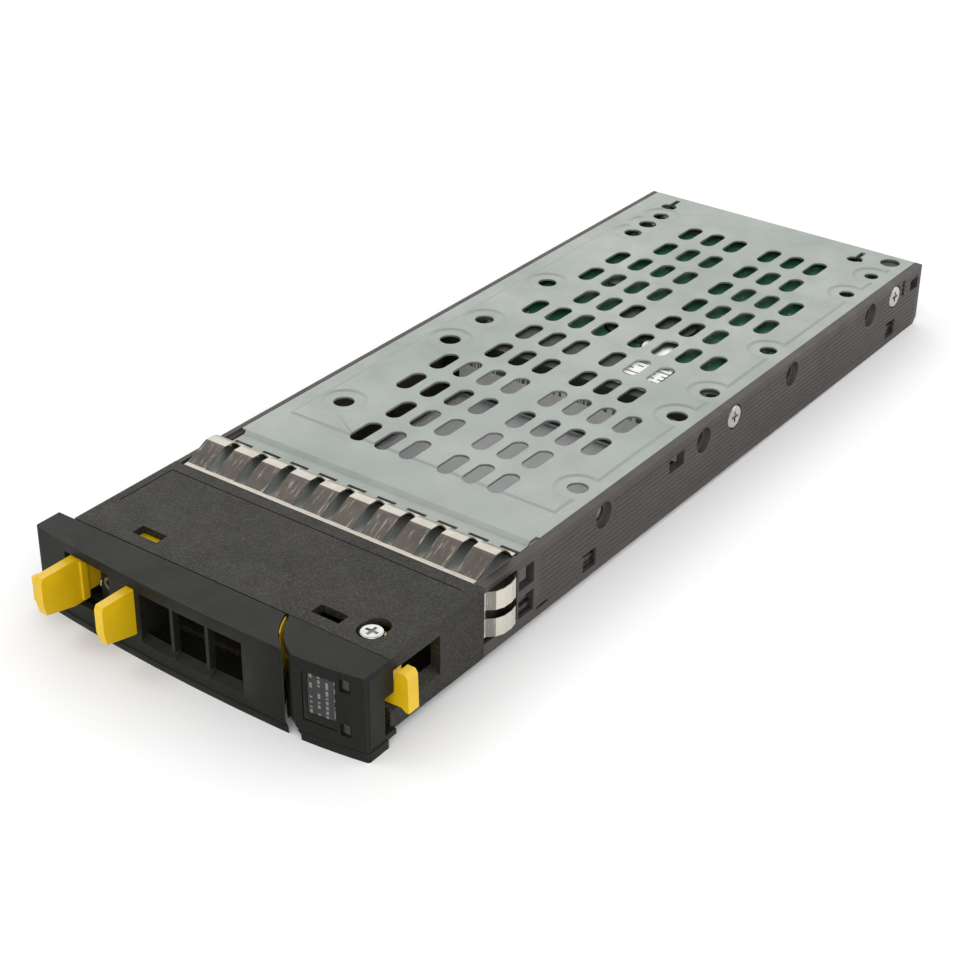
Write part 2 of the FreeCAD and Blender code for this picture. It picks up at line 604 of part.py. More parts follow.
def cam_lever():
    """Yellow lever: pivot boss, cam hook through the side window, arm, end cheek and the fixed grip tab."""
    boss = disc(PIVOT, 5.2, (4.1, 15.9))
    arm = box((-27.3, 16.0), (-96.9, -88.8), (13.4, 15.9))
    deep_arm = prism_z([PIVOT, (15.2, -96.8), (15.2, -93.6), (27.5, -87.6)], (8.2, 13.9))
    cheek = end_sector((16.3, 18.2), (-101.0, -96.4), (5.0, TOP - WALL - 0.1))
    crest = end_sector((16.3, HANDLE_END_R - 0.06), (-101.0, -96.4), (TOP - WALL - 0.2, TOP - 0.5))
    tab_root = box(FIXED_TAB_X, (-103.5, -96.4), TAB_Z)
    hook_face = [(31.0, 8.4), (37.4, 8.0), (41.3, 8.2), (42.4, 7.5), (43.1, 7.5), (42.9, 14.8), (42.3, 15.6)]
    hook_face += [(40.6, 15.6), (39.8, 14.3), (39.5, 12.2), (38.6, 10.8), (37.2, 10.2), (31.0, 10.2)]
    hook = prism_y(hook_face, (-95.8, -92.9))
    tab = prism_x(tab_profile(-103.0), FIXED_TAB_X)
    body = fuse([boss, arm, deep_arm, cheek, crest, tab_root, hook, tab])
    return body.cut([disc(PIVOT, 3.0 + PIVOT_CLEAR, (0, 20)), disc(PIVOT, 5.6, (12.4, 20))])


def latch_button():
    """Sprung yellow tab: squeezed towards the fixed one, it frees the handle."""
    tab = prism_x(tab_profile(-101.0), LATCH_TAB_X)
    lip = box((LATCH_TAB_X[0] - 0.5, LATCH_TAB_X[0] + 0.5), (TAB_TIP + 0.05, TAB_TIP + 1.4), (9.8, 15.2))
    strip = box((LATCH_TAB_X[1] - 0.5, LATCH_TAB_X[1] + 0.5), (-103.1, -101.6), (5.8, 14.6))
    stem = box(LATCH_TAB_X, (-101.2, -92.0), (7.0, 14.4))
    nose = prism_z([(-32.9, -94.0), (-35.3, -93.4), (-35.3, -92.6), (-32.9, -92.0)], (7.2, 14.2))
    return fuse([tab, lip, strip, stem, nose])


def latch_spring():
    """Compression spring between the latch stem and the seat in the handle."""
    turns = 5
    length = SPRING_SEAT_X - LATCH_TAB_X[1] - 0.5
    wire_r = 0.2
    coil_r = 1.2
    helix = Part.makeHelix(length / turns, length, coil_r)
    corners = []
    for n in range(8):
        angle = math.radians(45 * n)
        corners.append(V(coil_r + wire_r * math.cos(angle), 0, wire_r * math.sin(angle)))
    section = Part.makePolygon(corners + [corners[0]])
    spring = Part.Wire(helix).makePipeShell([section], True, True)
    spring.rotate(V(0, 0, 0), V(0, 1, 0), 90)
    spring.translate(V(LATCH_TAB_X[1] + 0.25, -97.9, SPRING_Z))
    return spring


def tamper_lock():
    """Quarter-turn lock in the recess between the tabs, with a hexagonal key socket."""
    collar = rod_y(LOCK[0], LOCK[1], 1.45, (-101.3, -98.6))
    flag = box((LOCK[0] - 0.8, LOCK[0] + 0.8), (-98.9, -98.1), (LOCK[1] - 0.6, LOCK[1] + 2.5))
    corners = [polar(LOCK, 0.85, 60 * n) for n in range(6)]
    socket = prism_y(corners, (-102, -100.3))
    return fuse([collar, flag]).cut(socket)


# ---------------------------------------------------------------- drive
def drive_outline_points(inset):
    x = (DRIVE_X - DRIVE_HALF + inset, DRIVE_X + DRIVE_HALF - inset)
    return x, (DRIVE_FRONT + inset, REAR - inset)


def cavity(z, inset=0.0):
    """The space that the disks and the actuator turn in."""
    bowl = disc(SPINDLE, 33.3 - inset, z)
    bay = box((DRIVE_X - 31.0 + inset, DRIVE_X + 31.5 - inset), (SPINDLE[1] + 12.0, 106.8 - inset), z)
    return bowl.fuse(bay).removeSplitter()


def drive_base():
    x, y = drive_outline_points(0.0)
    block = box(x, y, (COVER_TOP + 0.3, DRIVE_TOP))
    tools = [cavity((0, CAVITY_TOP))]
    bay_y = (BOARD_Y[0] - 0.4, BOARD_Y[1] + 0.4)
    board_bay = box((DRIVE_X - 32.4, DRIVE_X + 32.4), bay_y, (BOARD_Z[0], DRIVE_TOP + 1))
    chip_bay = box((DRIVE_X - 22.0, DRIVE_X + 22.0), (66.0, 104.0), (14.0, DRIVE_TOP + 1))
    tools += [board_bay, chip_bay]
    tools.append(box((DRIVE_X - 22.0, DRIVE_X + 22.0), (107.5, REAR + 1), (9.0, 14.6)))
    for sx in (-1, 1):
        for screw_y in SIDE_SCREW_Y:
            side = sorted((DRIVE_X + sx * (DRIVE_HALF + 1), DRIVE_X + sx * (DRIVE_HALF - 5.0)))
            tools.append(rod_x(screw_y, SIDE_HOLE_Z, 1.5, side))
            tools.append(disc((DRIVE_X + sx * 30.86, screw_y), 1.3, (CAVITY_TOP + 0.6, DRIVE_TOP + 1)))
    tools += [disc(c, 0.8, (0, 9.0)) for c in COVER_SCREW_XY]
    tools += [disc(c, 0.8, (13.6, DRIVE_TOP)) for c in BOARD_SCREW_XY]
    tools.append(disc(SPINDLE, 1.9, (CAVITY_TOP - 1, DRIVE_TOP + 1)))
    tools.append(disc(ACTUATOR, 1.4, (CAVITY_TOP - 1, 14.1)))
    body = block.cut(tools)
    motor_boss = ring(SPINDLE, 11.0, 1.9, (CAVITY_TOP + 0.5, DRIVE_TOP - 0.35))
    stator_boss = ring(SPINDLE, 3.2, 1.9, (8.6, CAVITY_TOP + 0.2))
    seal_boss = disc(SEAL, 4.9, (BOARD_Z[0] - 0.1, DRIVE_TOP - 0.35))
    return fuse([body, motor_boss, stator_boss, seal_boss])


def drive_cover():
    x, y = drive_outline_points(0.4)
    sheet = box(x, y, (DRIVE_BOTTOM, COVER_TOP))
    pressed = disc(SPINDLE, 27.0, (DRIVE_BOTTOM - 0.01, DRIVE_BOTTOM + 0.3))
    pressed = pressed.cut(disc(SPINDLE, 25.6, (0, 5)))
    holes = [disc(c, 0.95, (0, 5)) for c in COVER_SCREW_XY]
    sinks = [disc(c, 1.75, (0, DRIVE_BOTTOM + 0.35)) for c in COVER_SCREW_XY]
    return sheet.cut([pressed] + holes + sinks)


def cover_gasket():
    x, y = drive_outline_points(0.7)
    z = (COVER_TOP, COVER_TOP + 0.3)
    band = box(x, y, z)
    holes = [disc(c, 1.0, (0, 5)) for c in COVER_SCREW_XY]
    return band.cut([cavity((0, 5), -0.3)] + holes)


def star_screw(centre, head_r, head_z, shank_r, shank_z, up):
    """A small flat-head screw with a six-lobed socket; up tells which way its head faces."""
    head = disc(centre, head_r, head_z)
    shank = disc(centre, shank_r, shank_z)
    socket_z = (head_z[1] - 0.25, head_z[1] + 1) if up else (head_z[0] - 1, head_z[0] + 0.25)
    lobes = [disc(polar(centre, 0.45, 60 * n), 0.2, socket_z) for n in range(6)]
    return head.fuse(shank).cut(lobes + [disc(centre, 0.45, socket_z)])


def cover_screws():
    screws = []
    for c in COVER_SCREW_XY:
        head_z = (DRIVE_BOTTOM, DRIVE_BOTTOM + 0.35)
        screws.append(star_screw(c, 1.7, head_z, 0.78, (DRIVE_BOTTOM + 0.3, 8.8), False))
    return group(screws)


def circuit_board():
    board = box((DRIVE_X - 32.0, DRIVE_X + 32.0), BOARD_Y, BOARD_Z)
    tools = [disc(SPINDLE, 11.5, (10, 20)), disc(SEAL, 5.4, (10, 20))]
    tools += [disc(c, 0.95, (10, 20)) for c in BOARD_SCREW_XY]
    for sx in (-1, 1):
        for screw_y in SIDE_SCREW_Y:
            tools.append(disc((DRIVE_X + sx * 30.86, screw_y), 3.3, (10, 20)))
    return board.cut(tools)


def board_screws():
    z = BOARD_Z[1]
    return group([star_screw(c, 1.6, (z, z + 0.6), 0.78, (13.7, z + 0.1), True) for c in BOARD_SCREW_XY])


def board_chips():
    """Controller, memory, motor driver and smaller parts under the board, and a few on its upper side."""
    under = (BOARD_Z[0] - 1.0, BOARD_Z[0])
    over = (BOARD_Z[1], BOARD_Z[1] + 0.6)
    chips = []
    for x, y, wide, deep in ((-6, 84, 13, 13), (10, 88, 10, 8), (-18, 74, 6, 6), (12, 74, 7, 7)):
        left = DRIVE_X + x - wide / 2
        chips.append(box((left, left + wide), (y - deep / 2, y + deep / 2), under))
    for row in range(4):
        for n in range(7):
            x = DRIVE_X - 22.0 + 7.0 * n
            y = 69.0 + 9.6 * row
            chips.append(box((x, x + 1.6), (y, y + 0.9), over))
    for x, y in ((-20, 60), (19, 61), (-21, 98), (6, 101)):
        chips.append(box((DRIVE_X + x, DRIVE_X + x + 3.0), (y, y + 2.4), over))
    return group(chips)


def sas_connector():
    """Drive plug: a body with a long keyed tongue, guided by two side arms."""
    x = DRIVE_X
    body = box((x - 21.5, x + 21.5), (107.6, 109.6), (9.2, 14.5))
    arms = [box((x + a, x + a + 1.8), (109.5, REAR - 0.1), (9.2, 14.5)) for a in (-21.5, 19.7)]
    tongue = box((x - 17.0, x + 16.0), (109.5, REAR - 0.4), (11.2, 12.4))
    keys = [box((x + a, x + a + 1.2), (109.5, REAR - 0.4), (9.9, 11.3)) for a in (-17.0, -5.2, 14.8)]
    return fuse([body, tongue] + arms + keys)


def end_label():
    """Blank paper label on the drive's front end face."""
    return box((DRIVE_X - 30.0, DRIVE_X + 30.0), (DRIVE_FRONT - 0.12, DRIVE_FRONT), (4.6, 14.6))


def board_label():
    """Small blank label stuck on the board beside the motor."""
    return box((8.6, 20.3), (16.6, 29.3), (DRIVE_TOP, DRIVE_TOP + 0.04))


def foil_seal():
    """Round foil seal over an access port beside the motor."""
    top = DRIVE_TOP - 0.35
    return disc(SEAL, 4.7, (top, top + 0.06))


def spindle_shaft():
    return disc(SPINDLE, 1.88, (4.4, 14.6))


def motor_stator():
    """Laminated core with nine wound teeth, fixed round the base's boss."""
    z = (8.9, 12.3)
    core = ring(SPINDLE, 4.3, 3.22, z)
    teeth = []
    for n in range(9):
        x, y = SPINDLE
        spoke = box((x + 4.1, x + 7.0), (y - 0.5, y + 0.5), (z[0] + 0.5, z[1] - 0.5))
        coil = box((x + 4.5, x + 6.6), (y - 0.95, y + 0.95), z)
        tooth = spoke.fuse(coil)
        tooth.rotate(V(SPINDLE[0], SPINDLE[1], 0), V(0, 0, 1), 40 * n)
        teeth.append(tooth)
    return fuse([core] + teeth)


def spindle_hub():
    body = disc(SPINDLE, DISK_BORE_R - 0.03, (4.6, 11.2))
    flange = disc(SPINDLE, 12.0, (DISK_Z[2] + DISK_THICK, 12.2))
    tools = [disc(SPINDLE, 1.95, (0, 20)), disc(SPINDLE, 8.5, (8.2, 20))]
    tools += [disc(polar(SPINDLE, 7.0, 60 * n), 0.75, (0, 7.5)) for n in range(6)]
    return body.fuse(flange).cut(tools)


def rotor_magnet():
    return ring(SPINDLE, 8.5, 7.5, (8.7, 12.1))


def disks():
    return group([ring(SPINDLE, DISK_R, DISK_BORE_R, (z, z + DISK_THICK)) for z in DISK_Z])


def disk_spacers():
    return group([ring(SPINDLE, 12.0, DISK_BORE_R, (z + DISK_THICK, z + 2.6)) for z in DISK_Z[:2]])


def disk_clamp():
    tools = [disc(polar(SPINDLE, 7.0, 60 * n), 0.9, (0, 20)) for n in range(6)]
    tools.append(disc(SPINDLE, DISK_BORE_R, (4.6, 6)))
    return ring(SPINDLE, 12.0, 3.5, (4.5, DISK_Z[0])).cut(tools)


def clamp_screws():
    screws = []
    for n in range(6):
        centre = polar(SPINDLE, 7.0, 60 * n)
        screws.append(star_screw(centre, 1.3, (4.1, 4.5), 0.7, (4.4, 7.3), False))
    return group(screws)


def turned(shape, angle):
    """Turn a shape drawn along +X from the actuator's axis."""
    shape.rotate(V(ACTUATOR[0], ACTUATOR[1], 0), V(0, 0, 1), angle)
    return shape


def from_actuator(points):
    return [(ACTUATOR[0] + x, ACTUATOR[1] + y) for x, y in points]


def actuator_arms():
    """Comb of four arms on one barrel, with a fork that holds the voice coil."""
    barrel = disc(ACTUATOR, 6.2, (ARM_Z[0], ARM_Z[3] + ARM_THICK))
    arm = from_actuator([(3, -4.6), (26, -1.7), (26, 1.7), (3, 4.6)])
    arms = [prism_z(arm, (z, z + ARM_THICK)) for z in ARM_Z]
    fork = [(-3, -5.0), (-17.0, -8.1), (-17.0, -6.8), (-7.6, -4.0), (-7.6, 4.0), (-17.0, 6.8)]
    fork += [(-17.0, 8.1), (-3, 5.0)]
    fork = prism_z(from_actuator(fork), (7.2, 8.8))
    body = fuse([barrel] + arms + [fork]).cut(disc(ACTUATOR, 4.5, (0, 20)))
    return turned(body, PARK_ANGLE)


def voice_coil():
    outer = prism_z(from_actuator([(-7.7, -3.6), (-17.2, -6.6), (-17.2, 6.6), (-7.7, 3.6)]), (7.0, 9.0))
    inner = prism_z(from_actuator([(-10.2, -1.6), (-15.2, -3.4), (-15.2, 3.4), (-10.2, 1.6)]), (6, 10))
    return turned(outer.cut(inner), PARK_ANGLE)


def head_suspensions():
    """Six load beams with their sliders, two in each gap between arms."""
    heads = []
    for disk_z in DISK_Z:
        for side in (-1, 1):
            surface = disk_z if side < 0 else disk_z + DISK_THICK
            near = surface + side * 0.12
            far = surface + side * 0.32
            beam_z = (min(far, far + side * 0.14), max(far, far + side * 0.14))
            tip = ARM_REACH + 0.8
            beam = prism_z(from_actuator([(21.0, -1.5), (tip, -0.4), (tip, 0.4), (21.0, 1.5)]), beam_z)
            slider_z = (min(near, far + side * 0.02), max(near, far + side * 0.02))
            slider = box((ACTUATOR[0] + ARM_REACH - 0.6, ACTUATOR[0] + ARM_REACH + 0.6),
                         (ACTUATOR[1] - 0.4, ACTUATOR[1] + 0.4), slider_z)
            heads.append(turned(beam.fuse(slider), PARK_ANGLE))
    return group(heads)


def pivot_bearing():
    return ring(ACTUATOR, 4.5, 1.46, (ARM_Z[0], ARM_Z[3] + ARM_THICK))


def actuator_shaft():
    return disc(ACTUATOR, 1.39, (COVER_TOP + 0.05, 13.95))


def yoke(z):
    """Steel plate over the coil's swept sector."""
    start, end = PARK_ANGLE + 180 - 26, PARK_ANGLE + 180 + 56
    middle = (start + end) / 2
    path = [polar(ACTUATOR, 8.2, start), polar(ACTUATOR, 18.6, start)]
    path += [("via",) + polar(ACTUATOR, 18.6, middle), polar(ACTUATOR, 18.6, end), polar(ACTUATOR, 8.2, end)]
    path += [("via",) + polar(ACTUATOR, 8.2, middle)]
    return plan_solid(path, z)


def magnet(z):
    start, end = PARK_ANGLE + 180 - 16, PARK_ANGLE + 180 + 46
    middle = (start + end) / 2
    path = [polar(ACTUATOR, 9.6, start), polar(ACTUATOR, 17.2, start)]
    path += [("via",) + polar(ACTUATOR, 17.2, middle), polar(ACTUATOR, 17.2, end), polar(ACTUATOR, 9.6, end)]
    path += [("via",) + polar(ACTUATOR, 9.6, middle)]
    return plan_solid(path, z)


def upper_yoke():
    return yoke((11.4, CAVITY_TOP))


def lower_yoke():
    return yoke((3.2, 4.8))


def coil_magnets():
    return group([magnet((9.4, 11.4)), magnet((4.8, 6.6))])


def load_ramp():
    """Comb beside the disks that the heads park on, drawn just clear of the beams."""
    near = ACTUATOR[0] + ARM_REACH + 1.2
    block = box((near, near + 2.8), (ACTUATOR[1] - 1.6, ACTUATOR[1] + 1.6), (3.4, 12.9))
    return turned(block, PARK_ANGLE).cut(disc(SPINDLE, DISK_R + 0.35, (0, 12.4)))


def air_filter():
    return box((DRIVE_X - 29.5, DRIVE_X - 22.5), (98.0, 103.5), (4.0, CAVITY_TOP))


def head_connector():
    """Connector block that brings the head signals through the base to the circuit board."""
    return box((DRIVE_X - 12.0, DRIVE_X - 2.0), (98.0, 105.0), (8.6, CAVITY_TOP))


def flex_cable():
    """Flexible circuit from the head connector, ending just short of the actuator's barrel."""
    line = [(-3.0, 98.0), (-3.0, 95.6), (-2.4, 93.6), (-0.8, 92.0), (1.4, 91.2), (3.6, 91.1)]
    return prism_z(ribbon(line, 0.2), (8.8, 11.4))


PARTS = [
    top_plate, left_rail, right_rail, rail_screws, front_housing, housing_base, base_screws, pivot_bush,
    pivot_screw, emi_fingers_top, emi_fingers_right, emi_fingers_left, emi_screen, led_bezel, led_label,
    light_pipes, handle_cover, cam_lever, latch_button, latch_spring, tamper_lock, drive_base,
    drive_cover, cover_gasket, cover_screws, circuit_board, board_screws, board_chips, sas_connector,
    end_label, board_label, foil_seal, spindle_shaft, motor_stator, spindle_hub, rotor_magnet, disks,
    disk_spacers, disk_clamp, clamp_screws, actuator_arms, voice_coil, head_suspensions, pivot_bearing,
    actuator_shaft, upper_yoke, lower_yoke, coil_magnets, load_ramp, air_filter, head_connector,
    flex_cable,
]

os.makedirs("parts", exist_ok=True)
for make in PARTS:
    shape = make()
    if not shape.isValid():
        print("not valid:", make.__name__)
    shape.exportStep("parts/" + make.__name__ + ".step")
    print(make.__name__, len(shape.Solids), round(shape.Volume, 1))
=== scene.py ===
import json
import math

import bpy
from mathutils import Matrix, Vector


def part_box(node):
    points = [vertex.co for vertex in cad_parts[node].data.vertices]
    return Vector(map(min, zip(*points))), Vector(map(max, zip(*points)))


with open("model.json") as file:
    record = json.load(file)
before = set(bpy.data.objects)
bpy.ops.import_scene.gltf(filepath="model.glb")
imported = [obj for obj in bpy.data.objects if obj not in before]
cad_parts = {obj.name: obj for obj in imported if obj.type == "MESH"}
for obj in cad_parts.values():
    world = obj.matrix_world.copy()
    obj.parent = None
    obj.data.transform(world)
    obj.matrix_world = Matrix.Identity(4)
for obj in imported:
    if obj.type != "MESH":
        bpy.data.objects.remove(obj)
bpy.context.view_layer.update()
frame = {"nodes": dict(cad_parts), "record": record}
nodes = frame["nodes"]
MM = 0.001


# ---------------------------------------------------------------- node helpers
class Shader:
    """A Principled material and short calls that add and link its nodes."""

    def __init__(self, name, **sockets):
        self.material = bpy.data.materials.new(name)
        self.material.use_nodes = True
        self.tree = self.material.node_tree
        self.bsdf = self.tree.nodes["Principled BSDF"]
        for key, value in sockets.items():
            self.bsdf.inputs[key.replace("_", " ")].default_value = value
        self.place = self.tree.nodes.new("ShaderNodeTexCoord").outputs["Object"]

    def add(self, kind, **settings):
        node = self.tree.nodes.new(kind)
        for key, value in settings.items():
            setattr(node, key, value)
        return node

    def link(self, value, socket):
        if isinstance(value, bpy.types.NodeSocket):
            self.tree.links.new(value, socket)
        else:
            socket.default_value = value

    def scaled(self, scale):
        """The object's coordinates, in millimetres, stretched by scale."""
        node = self.add("ShaderNodeMapping")
        node.inputs["Scale"].default_value = [s / MM for s in scale]
        self.link(self.place, node.inputs["Vector"])
        return node.outputs["Vector"]

    def noise(self, size, detail=4.0, rough=0.55, stretch=(1, 1, 1)):
        """Noise whose features are about size millimetres."""
        node = self.add("ShaderNodeTexNoise")
        self.link(self.scaled([1.0 / (size * s) for s in stretch]), node.inputs["Vector"])
        node.inputs["Scale"].default_value = 1.0
        node.inputs["Detail"].default_value = detail
        node.inputs["Roughness"].default_value = rough
        return node.outputs["Fac"]

    def cells(self, size):
        """Voronoi cells about size millimetres across."""
        node = self.add("ShaderNodeTexVoronoi", feature="F1")
        self.link(self.scaled([1.0 / size] * 3), node.inputs["Vector"])
        node.inputs["Scale"].default_value = 1.0
        node.inputs["Randomness"].default_value = 1.0
        return node

    def remap(self, value, low, high, to_low=0.0, to_high=1.0):
        node = self.add("ShaderNodeMapRange")
        for socket, v in zip(node.inputs, (value, low, high, to_low, to_high)):
            self.link(v, socket)
        return node.outputs["Result"]

    def math(self, operation, a, b=0.0):
        node = self.add("ShaderNodeMath", operation=operation)
        self.link(a, node.inputs[0])
        self.link(b, node.inputs[1])
        return node.outputs["Value"]

    def mix(self, factor, a, b):
        node = self.add("ShaderNodeMix", data_type="RGBA", blend_type="MIX")
        self.link(factor, node.inputs["Factor"])
        self.link(a if not isinstance(a, tuple) else (*a, 1.0), node.inputs["A"])
        self.link(b if not isinstance(b, tuple) else (*b, 1.0), node.inputs["B"])
        return next(o for o in node.outputs if o.type == "RGBA")

    def axis(self, index):
        """One object coordinate, in millimetres."""
        node = self.add("ShaderNodeSeparateXYZ")
        self.link(self.scaled((1, 1, 1)), node.inputs["Vector"])
        return node.outputs[index]

    def facing(self, index):
        """One component of the way the surface points."""
        geometry = self.add("ShaderNodeNewGeometry")
        node = self.add("ShaderNodeSeparateXYZ")
        self.link(geometry.outputs["Normal"], node.inputs["Vector"])
        return node.outputs[index]

    def edges(self, radius):
        """1 on convex and concave edges, 0 on flats: how far a rounded normal leans from the true one."""
        rounded = self.add("ShaderNodeBevel", samples=4)
        rounded.inputs["Radius"].default_value = radius * MM
        true = self.add("ShaderNodeNewGeometry")
        dot = self.add("ShaderNodeVectorMath", operation="DOT_PRODUCT")
        self.link(rounded.outputs["Normal"], dot.inputs[0])
        self.link(true.outputs["Normal"], dot.inputs[1])
        return self.remap(dot.outputs["Value"], 0.99, 0.86)

    def bump(self, height, depth, strength=1.0, normal=None):
        """Relief of depth millimetres."""
        node = self.add("ShaderNodeBump")
        node.inputs["Strength"].default_value = strength
        node.inputs["Distance"].default_value = depth * MM
        self.link(height, node.inputs["Height"])
        if normal is not None:
            self.link(normal, node.inputs["Normal"])
        return node.outputs["Normal"]

    def finish(self, color=None, roughness=None, normal=None):
        for name, value in (("Base Color", color), ("Roughness", roughness), ("Normal", normal)):
            if value is not None:
                self.link(value if not isinstance(value, tuple) else (*value, 1.0), self.bsdf.inputs[name])
        return self.material


# ---------------------------------------------------------------- materials
def zinc_sheet():
    """Zinc-plated sheet: faint spangle, rolling grain along the carrier, handling marks."""
    s = Shader("zinc_sheet", Metallic=0.75)
    spangle = s.cells(2.6).outputs["Color"]
    grain = s.noise(0.35, 3.0, 0.6, stretch=(1, 9, 1))
    cloud = s.noise(28.0, 4.0, 0.5)
    smudge = s.noise(7.0, 5.0, 0.62)
    color = s.mix(s.remap(cloud, 0.35, 0.7), (0.285, 0.315, 0.29), (0.355, 0.375, 0.35))
    color = s.mix(s.remap(grain, 0.3, 0.75, 0.0, 0.3), color, (0.27, 0.29, 0.27))
    # Paler edges: partly wear, partly a painted highlight.
    color = s.mix(s.math("MULTIPLY", s.edges(0.12), 0.5), color, (0.68, 0.70, 0.67))
    rough = s.remap(smudge, 0.3, 0.75, 0.42, 0.58)
    relief = s.bump(spangle, 0.006, 0.5, s.bump(grain, 0.004, 0.6))
    return s.finish(color, rough, relief)


def moulded(name, base, light, size, depth, rough, sparkle=0.5, shine=0.32):
    """Black moulded plastic with an eroded texture and paler edges, partly polished by wear and partly a
    painted highlight.
    """
    s = Shader(name, Specular_IOR_Level=shine)
    grain = s.noise(size, 3.0, 0.75)
    pits = s.cells(size * 1.5).outputs["Distance"]
    cloud = s.noise(16.0, 4.0, 0.6)
    color = s.mix(s.remap(cloud, 0.3, 0.72), base, light)
    color = s.mix(s.remap(grain, 0.5, 0.72, 0.0, sparkle), color, tuple(4.2 * c for c in light))
    color = s.mix(s.remap(grain, 0.48, 0.3, 0.0, sparkle), color, tuple(0.35 * c for c in base))
    # Paler edges: partly wear, partly a painted highlight.
    color = s.mix(s.math("MULTIPLY", s.edges(0.2), 0.45), color, tuple(3.2 * c for c in light))
    dull = s.remap(s.noise(5.0, 5.0, 0.65), 0.3, 0.75, rough - 0.06, rough + 0.09)
    relief = s.bump(grain, depth, 0.9, s.bump(pits, depth * 1.2, 0.5))
    return s.finish(color, dull, relief)


def yellow_plastic():
    s = Shader("yellow_plastic", Specular_IOR_Level=0.5, Subsurface_Weight=0.06, Subsurface_Scale=0.001)
    cloud = s.noise(9.0, 4.0, 0.6)
    grain = s.noise(0.22, 2.0, 0.6)
    color = s.mix(s.remap(cloud, 0.3, 0.72), (0.64, 0.40, 0.002), (0.72, 0.465, 0.004))
    # Brighter edges: partly wear, partly a painted highlight.
    color = s.mix(s.math("MULTIPLY", s.edges(0.3), 0.3), color, (0.88, 0.68, 0.06))
    rough = s.remap(s.noise(3.0, 5.0, 0.65), 0.3, 0.75, 0.32, 0.46)
    return s.finish(color, rough, s.bump(grain, 0.01, 0.35))


def metal(name, base, rough, size=0.3, stretch=(1, 1, 1), depth=0.003, dark=0.7):
    """Plain metal: grain along stretch, uneven gloss, brighter edges that are partly wear and partly a
    painted highlight.
    """
    s = Shader(name, Metallic=1.0)
    grain = s.noise(size, 3.0, 0.6, stretch)
    cloud = s.noise(size * 14, 4.0, 0.6)
    color = s.mix(s.remap(cloud, 0.3, 0.7), base, tuple(dark * c for c in base))
    # Brighter edges: partly wear, partly a painted highlight.
    color = s.mix(s.math("MULTIPLY", s.edges(0.08), 0.4), color, tuple(min(1.0, 1.25 * c) for c in base))
    gloss = s.remap(grain, 0.25, 0.8, rough - 0.05, rough + 0.12)
    return s.finish(color, gloss, s.bump(grain, depth, 0.6))


def spring_sheet():
    """Spring sheet: pale where it lies flat, with a painted reflection that makes it dark and streaked
    where it slopes to the front, and a painted highlight on faces that point to the right.
    """
    s = Shader("spring_steel", Metallic=1.0)
    streak = s.noise(0.45, 3.0, 0.6, stretch=(1, 9, 9))
    cloud = s.noise(3.0, 4.0, 0.6)
    # Painted reflection and highlight, chosen by the way each face points: front-sloping faces are painted
    # dark, right-facing faces are painted pale.
    front = s.remap(s.facing("Y"), -0.1, -0.45)
    painted_right_highlight = s.remap(s.facing("X"), 0.6, 0.9)
    flat = s.mix(s.remap(cloud, 0.3, 0.7), (0.32, 0.295, 0.255), (0.43, 0.40, 0.35))
    # Colour of the painted reflection on the front slopes: dark with pale streaks.
    slope = s.mix(s.remap(streak, 0.56, 0.72), (0.085, 0.075, 0.066), (0.42, 0.38, 0.33))
    color = s.mix(s.math("MULTIPLY", front, 0.92), flat, slope)
    # Painted highlight on faces that point to the right.
    color = s.mix(painted_right_highlight, color, (0.66, 0.63, 0.55))
    gloss = s.remap(cloud, 0.25, 0.8, 0.2, 0.34)
    return s.finish(color, gloss, s.bump(streak, 0.004, 0.6))


def cast_metal(name, base, light, metallic):
    s = Shader(name, Metallic=metallic)
    grain = s.noise(0.5, 5.0, 0.65)
    cloud = s.noise(12.0, 3.0, 0.5)
    color = s.mix(s.remap(cloud, 0.3, 0.7), base, light)
    # Brighter edges: partly wear, partly a painted highlight.
    color = s.mix(s.math("MULTIPLY", s.edges(0.15), 0.4), color, tuple(2.2 * c for c in light))
    return s.finish(color, s.remap(grain, 0.3, 0.7, 0.42, 0.62), s.bump(grain, 0.02, 0.8))


def green_board():
    """Solder mask over copper tracks."""
    s = Shader("green_board", Specular_IOR_Level=0.5, Coat_Weight=0.25, Coat_Roughness=0.25)
    tracks = s.add("ShaderNodeTexBrick", offset=0.37, offset_frequency=3, squash=1.6, squash_frequency=2)
    s.link(s.scaled((0.55, 0.9, 1)), tracks.inputs["Vector"])
    tracks.inputs["Scale"].default_value = 1.0
    tracks.inputs["Mortar Size"].default_value = 0.06
    tracks.inputs["Mortar Smooth"].default_value = 0.2
    vias = s.remap(s.cells(1.7).outputs["Distance"], 0.16, 0.12)
    cloud = s.noise(8.0, 3.0, 0.5)
    color = s.mix(s.remap(cloud, 0.3, 0.7), (0.008, 0.055, 0.035), (0.014, 0.085, 0.055))
    color = s.mix(s.math("MULTIPLY", tracks.outputs["Fac"], 0.45), color, (0.035, 0.14, 0.09))
    color = s.mix(s.math("MULTIPLY", vias, 0.7), color, (0.42, 0.40, 0.30))
    return s.finish(color, s.remap(cloud, 0.3, 0.7, 0.3, 0.42), s.bump(tracks.outputs["Fac"], 0.02, 0.6))


def dark_resin(name, base, rough):
    s = Shader(name)
    grain = s.noise(0.18, 3.0, 0.6)
    color = s.mix(s.remap(s.noise(2.2, 4.0, 0.6), 0.3, 0.7), base, tuple(1.7 * c for c in base))
    return s.finish(color, s.remap(grain, 0.3, 0.7, rough - 0.06, rough + 0.08), s.bump(grain, 0.01, 0.6))


def light_pipe():
    s = Shader("light_pipe", Specular_IOR_Level=0.25, Transmission_Weight=0.2, IOR=1.49)
    cloud = s.noise(1.2, 3.0, 0.5)
    color = s.mix(cloud, (0.016, 0.016, 0.015), (0.040, 0.040, 0.037))
    return s.finish(color, s.remap(cloud, 0.3, 0.7, 0.18, 0.32), s.bump(cloud, 0.01, 0.4))


